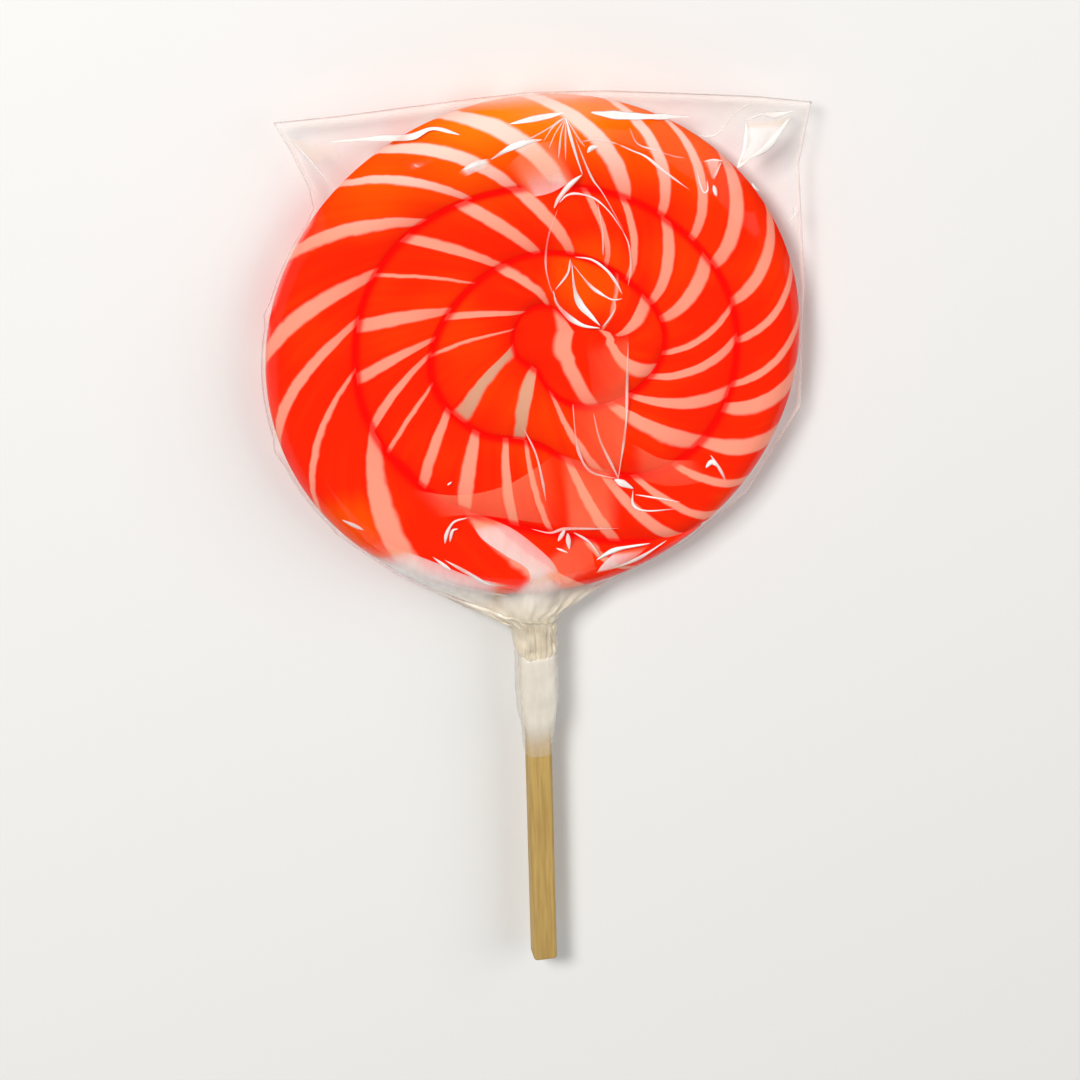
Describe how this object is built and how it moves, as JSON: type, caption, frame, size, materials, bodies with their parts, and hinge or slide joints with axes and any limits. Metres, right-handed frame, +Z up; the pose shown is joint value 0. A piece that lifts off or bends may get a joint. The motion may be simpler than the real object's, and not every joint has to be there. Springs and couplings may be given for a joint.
{
  "type": "swirl lollipop",
  "caption": "Flat round lollipop: a coiled rope of red-orange boiled sugar with pale slanting stripes, on a square wooden stick, in a clear gathered film pouch.",
  "frame": {"origin": "middle of the whole lollipop's footprint, on the ground that the disc rests on", "axes": "+Z up out of the shown face of the disc, +Y towards the head of the disc, the stick runs to -Y"},
  "size_m": [0.0888, 0.158, 0.0116],
  "materials": {
    "candy": "glossy boiled sugar, orange-red with pale peach stripes that slant across the rope",
    "stick": "bare pale wood, sanded",
    "film": "thin clear crinkled film",
    "tape": "clear tape over gathered film, milky"
  },
  "bodies": {
    "root": {"candy": "candy", "stick": "stick", "wrapper": "film", "tape": "tape"}
  },
  "joints": []
}
